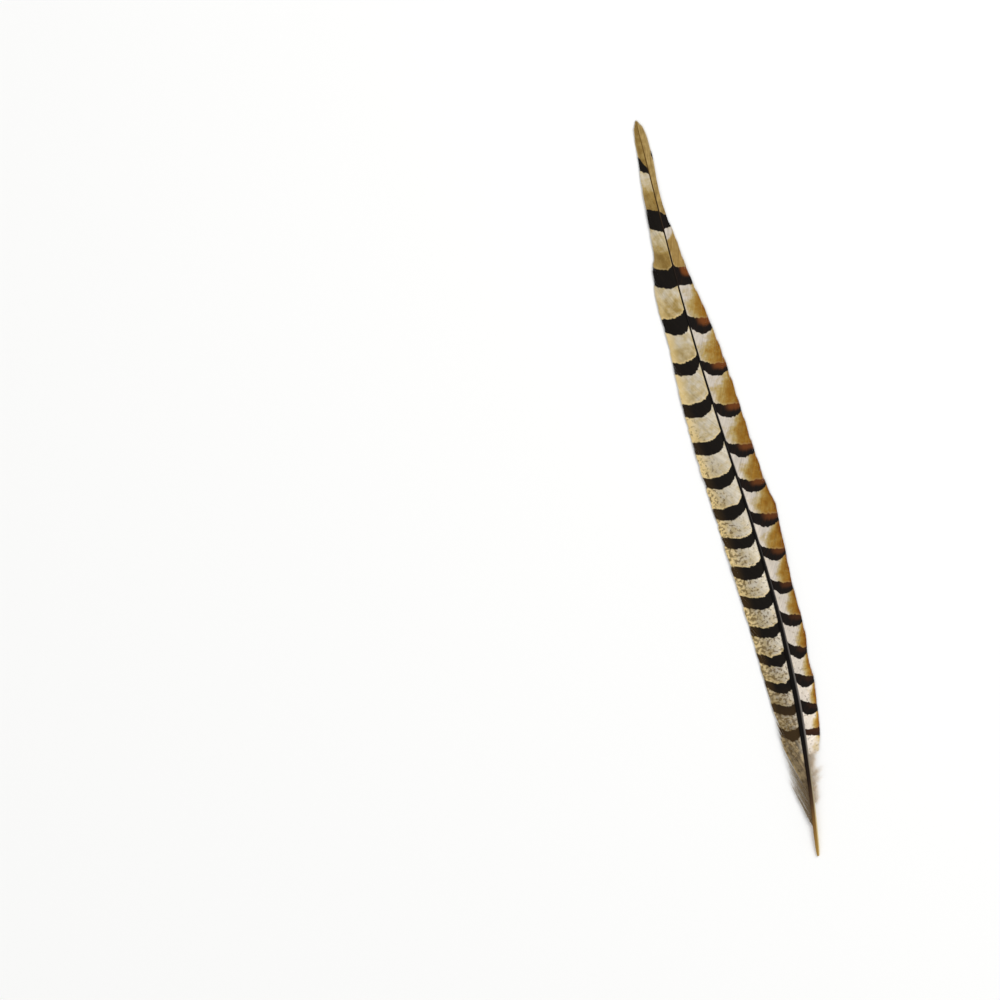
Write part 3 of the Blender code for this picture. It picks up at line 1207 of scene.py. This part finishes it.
@dataclass
class Down:
    """The loose foot of one vane: soft barbs that hold no shape, fringed with barbules.

    Attributes:
        bends: How far a barb's tip is bent out of its line, along X, Y and Z.
        tuft: How many barbs bend together.
        shortest: The least part of its reach that a barb goes.
        lowest: The least part of the locks' lift that it has.
        barbule_half: Half the width of a barbule at its foot, middle and tip.
        barbule_angles: The least and the most degrees that it stands off the barb.
    """

    plan: VanePlan
    finish: DownFinish
    name: str
    first_root: float
    pitch: float
    half_width: float
    barbules: int
    barbule_length: float
    seed: int
    last_root: float = 366.0
    bends: tuple = (0.5, 0.5, 0.15)
    tuft: int = 4
    locks: Locks = Locks()
    rings: int = 14
    shortest: float = 0.62
    lowest: float = 0.3
    barbule_half: tuple = (0.024, 0.018, 0.006)
    barbule_angles: tuple = (30, 62)
    floor: float = 0.06

    def build(self) -> bpy.types.Object:
        """Build the loose barbs, and join their barbules to them.

        Returns:
            The piece.
        """
        latest_start, narrowing, jitter = 0.5, 0.75, 0.3
        chance = np.random.default_rng(self.seed)
        roots = np.arange(self.first_root, self.last_root, self.pitch)
        roots = roots + self.pitch * jitter * chance.normal(size=len(roots))
        roots = np.clip(roots, self.first_root, self.last_root)
        rows = self.locks.rows(self.plan.side)
        factor = np.interp(roots, rows[0], rows[1])
        factor = factor * chance.uniform(self.shortest, 1.0, len(roots))
        lift = np.interp(roots, rows[0], rows[2]) * chance.uniform(self.lowest, 1.0, len(roots))
        start = self.plan.first_part(roots, latest_start)
        t = np.linspace(0, 1, self.rings)
        part = (start + (1 - start) * t) * factor[:, None]
        _, _, middle = self.plan.lay(roots[:, None], part, lift[:, None])
        middle = middle + self.waver(len(roots), chance)
        middle[..., 2] = np.maximum(middle[..., 2], self.plan.edge_height)
        half = self.half_width * (1 - narrowing * t) * np.ones((len(roots), 1))
        tone = np.repeat(chance.uniform(-1, 1, len(roots))[:, None], self.rings, axis=1)
        barbs = Strands(middle, half, HAIR_SECTION,
                        {"reach": np.tile(t, (len(roots), 1)), "tone": tone}, (0.0, 0.5))
        piece = barbs.build(self.name)
        fringe = self.fringe(middle, tone, chance).build(self.name + "_barbules")
        with bpy.context.temp_override(active_object=piece, object=piece,
                                       selected_editable_objects=[piece, fringe]):
            bpy.ops.object.join()
        settle(piece, self.finish.make())
        return piece

    def waver(self, count: int, chance: np.random.Generator) -> Array:
        """Bend each loose barb a little out of its line.

        Args:
            count: How many barbs there are.
            chance: Source of randomness.

        Returns:
            How far each point is moved.
        """
        alone, twist, waves = 0.4, (0.18, 0.18, 0.08), (0.8, 1.6)
        t = np.linspace(0, 1, self.rings)[None, :, None]
        tufts = np.repeat(chance.normal(size=(count // self.tuft + 1, 1, 3)), self.tuft, axis=0)
        bends = (tufts[:count] + alone * chance.normal(size=(count, 1, 3))) * self.bends
        twists = chance.normal(size=(count, 1, 3)) * twist
        return bends * t ** 2 + twists * np.sin(math.tau * t * chance.uniform(*waves)) * t

    def fringe(self, middle: Array, tone: Array, chance: np.random.Generator) -> Strands:
        """Set barbules along both sides of each loose barb.

        Args:
            middle: The barbs' middle lines.
            tone: The barbs' tones.
            chance: Source of randomness.

        Returns:
            The barbules.
        """
        first, last, rise, shortening = 0.03, 0.98, 0.16, 0.45
        lengths, forward_curl, curl = (0.5, 1.1), 0.25, 0.12
        count = len(middle) * self.barbules
        barb = np.repeat(np.arange(len(middle)), self.barbules)
        place = chance.uniform(first, last, count) * (self.rings - 1)
        ring = np.minimum(place.astype(int), self.rings - 2)
        between = (place - ring)[:, None]
        foot = middle[barb, ring] * (1 - between) + middle[barb, ring + 1] * between
        forward = unit(middle[barb, ring + 1] - middle[barb, ring])
        sideways = unit(np.cross(UP, forward))
        side = chance.choice((-1.0, 1.0), count)[:, None]
        swing = np.radians(chance.uniform(*self.barbule_angles, count))[:, None]
        away = forward * np.cos(swing) + side * sideways * np.sin(swing)
        away[:, 2] += chance.normal(size=count) * rise
        length = self.barbule_length * chance.uniform(*lengths, count)
        length *= 1 - shortening * place / (self.rings - 1)
        t = np.array((0.0, 0.5, 1.0))[None, :, None]
        curve = forward * forward_curl + chance.normal(size=(count, 3)) * curl
        points = (foot[:, None] + length[:, None, None]
                  * (away[:, None] * t + curve[:, None] * t ** 2))
        points[..., 2] = np.maximum(points[..., 2], self.floor)
        half = np.array(self.barbule_half) * np.ones((count, 1))
        reach = (place / (self.rings - 1))[:, None] + np.array((0.0, 0.2, 0.4))
        return Strands(points, half, HAIR_SECTION,
                       {"reach": reach, "tone": np.repeat(tone[barb, :1], 3, axis=1)},
                       (0.5, 1.0))


@dataclass
class Shaft:
    """The shaft: a grooved, tapering rod that ends in a round, bare quill with a small hole.

    Attributes:
        groove: Depth of the groove in its underside, in radii.
        groove_width: Half the groove's width, in radians.
        quill_start: Where the groove has run out, over the length of groove_fade.
        quill_wall: Width of the quill's end round its hole.
    """

    finish: ShaftFinish = ShaftFinish()
    line: FeatherLine = FeatherLine()
    name: str = "shaft"
    end: float = 379.2
    corners: int = 20
    rings: int = 190
    groove: float = 0.45
    groove_width: float = 0.55
    groove_fade: float = 25.0
    quill_start: float = 350.0
    quill_wall: float = 0.22
    hole_depth: float = 2.5
    sharp_angle: float = math.radians(70)

    def build(self) -> bpy.types.Object:
        """Build the shaft along its line.

        Returns:
            The piece.
        """
        along = np.linspace(0, self.end, self.rings)
        from_tip = self.line.length - along
        plan = self.line.beside(from_tip, np.zeros_like(along))
        middle = np.column_stack([plan, self.line.height_at(from_tip)])
        turn = np.arange(self.corners) * math.tau / self.corners
        section = tuple(zip(np.sin(turn), np.cos(turn)))
        radius = self.line.radius_at(from_tip)
        hints = {"from_tip": (from_tip / self.line.length)[None]}
        piece = Strands(middle[None], radius[None], section, hints).build(self.name)
        self.press_groove(piece.data, radius, from_tip, turn)
        self.sink_hole(piece.data)
        settle(piece, self.finish.make())
        return piece

    def press_groove(self, mesh: bpy.types.Mesh, radius: Array, from_tip: Array,
                     turn: Array) -> None:
        """Press the groove in the underside, and store what the finish reads.

        Args:
            mesh: The round shaft.
            radius: Its radius at each ring.
            from_tip: Distance of each ring from the tip.
            turn: Angle of each corner from the top.
        """
        points = np.empty(len(mesh.vertices) * 3, np.float32)
        mesh.vertices.foreach_get("co", points)
        points = points.reshape(len(radius), len(turn), 3)
        below = np.exp(-((turn - math.pi) / self.groove_width) ** 2)
        grooved = ease(self.quill_start, self.quill_start - self.groove_fade, from_tip)
        grooved = grooved * radius * self.groove
        points[..., 2] += grooved[:, None] * below * MM
        mesh.vertices.foreach_set("co", points.ravel())
        mesh.set_sharp_from_angle(angle=self.sharp_angle)
        around = np.tile(turn, (len(radius), 1)) * radius[:, None]
        along = np.repeat(from_tip[:, None], len(turn), axis=1)
        grain = np.stack([around, along, np.zeros_like(around)], axis=-1)
        store(mesh, "grain", grain.reshape(-1, 3))
        # How far each point faces +X, towards the key lamp: the finish paints its highlight
        # there.
        store(mesh, "outwards", np.tile(-np.sin(turn), len(radius))[:, None])

    def sink_hole(self, mesh: bpy.types.Mesh) -> None:
        """Sink a small hole in the end of the quill, where it drew its blood.

        Args:
            mesh: The grooved shaft.
        """
        solid = bmesh.new()
        solid.from_mesh(mesh)
        cap = min(solid.faces, key=lambda face: face.calc_center_median().y)
        bmesh.ops.inset_region(solid, faces=[cap], thickness=self.quill_wall * MM,
                               use_even_offset=True)
        inward = -cap.normal * self.hole_depth * MM
        hole = bmesh.ops.extrude_discrete_faces(solid, faces=[cap])["faces"]
        bmesh.ops.translate(solid, verts=hole[0].verts, vec=inward)
        solid.to_mesh(mesh)
        solid.free()


@dataclass
class Studio:
    """A pale card floor, soft lamps and a camera that looks straight down. Sizes in metres.

    Attributes:
        turn: How far the camera is turned, so that the feather leans as in the photograph.
        lamps: For each square lamp its name, its place, its side and its power in watts.
    """

    floor_size: float = 6.0
    floor_gap: float = 0.00006
    turn: float = math.radians(-13.943)
    centre: tuple = (-0.11657, 0.02168)
    distance: float = 1.502
    lens: float = 108.0
    nearest: float = 0.05
    world_strength: float = 0.56
    lamps: tuple = (("key", (1.5, 0.7, 1.6), 1.2, 30.0), ("fill", (-1.8, -0.8, 1.8), 1.8, 15.0))

    def build(self) -> None:
        """Set up the floor, the light and the camera."""
        self.floor()
        self.camera()
        world = bpy.data.worlds.new("soft_room")
        bpy.context.scene.world = world
        world.use_nodes = True
        sky = world.node_tree.nodes["Background"].inputs
        sky["Strength"].default_value = self.world_strength
        sky["Color"].default_value = (1, 1, 1, 1)
        for lamp in self.lamps:
            self.lamp(*lamp)
        bpy.context.scene.view_settings.view_transform = "Standard"

    def floor(self) -> None:
        """Lay the floor."""
        sheet = bmesh.new()
        bmesh.ops.create_grid(sheet, x_segments=1, y_segments=1, size=self.floor_size / 2)
        bmesh.ops.translate(sheet, verts=sheet.verts, vec=(0, 0, -self.floor_gap))
        mesh = bpy.data.meshes.new("floor")
        sheet.to_mesh(mesh)
        sheet.free()
        floor = put("floor", mesh)
        mesh.materials.append(FloorFinish().make())

    def camera(self) -> None:
        """Hang the camera over the floor."""
        data = bpy.data.cameras.new("camera")
        data.lens = self.lens
        data.clip_start = self.nearest
        camera = put("camera", data)
        camera.location = (*self.centre, self.distance)
        camera.rotation_euler = (0, 0, self.turn)
        bpy.context.scene.camera = camera

    def lamp(self, name: str, place: tuple, size: float, power: float) -> None:
        """Hang a square soft lamp that faces the feather.

        Args:
            name: The lamp's name.
            place: Where it hangs.
            size: Its side.
            power: Its power in watts.
        """
        data = bpy.data.lights.new(name, "AREA")
        data.size = size
        data.energy = power
        lamp = put(name, data)
        lamp.location = place
        lamp.rotation_euler = (-lamp.location).to_track_quat("-Z", "Y").to_euler()


def main() -> None:
    """Build the feather, piece by piece, and the studio round it."""
    logging.basicConfig(level=logging.INFO, format="%(name)s: %(message)s")
    pieces = (
        Shaft(),
        Vane(INNER_PLAN, INNER_BARS, InnerTints(), INNER_FINISH, "inner_vane",
             last_root=349.0, seed=5),
        Vane(OUTER_PLAN, OUTER_BARS, OuterTints(), OUTER_FINISH, "outer_vane",
             last_root=328.0, seed=6),
        Down(INNER_PLAN, DownFinish("taupe_down", "#75624a", "#a8977a"), "inner_down",
             first_root=335.0, pitch=0.3, half_width=0.11, barbules=36, barbule_length=1.6,
             seed=7),
        Down(OUTER_PLAN, DownFinish("pale_down", "#d6c2a4", "#f8f0e4"), "outer_down",
             first_root=327.5, pitch=0.5, half_width=0.05, barbules=46, barbule_length=3.0,
             last_root=353.0, bends=(0.9, 0.9, 0.3), seed=8),
    )
    for piece in pieces:
        piece.build()
    Studio().build()


if __name__ == "__main__":
    main()
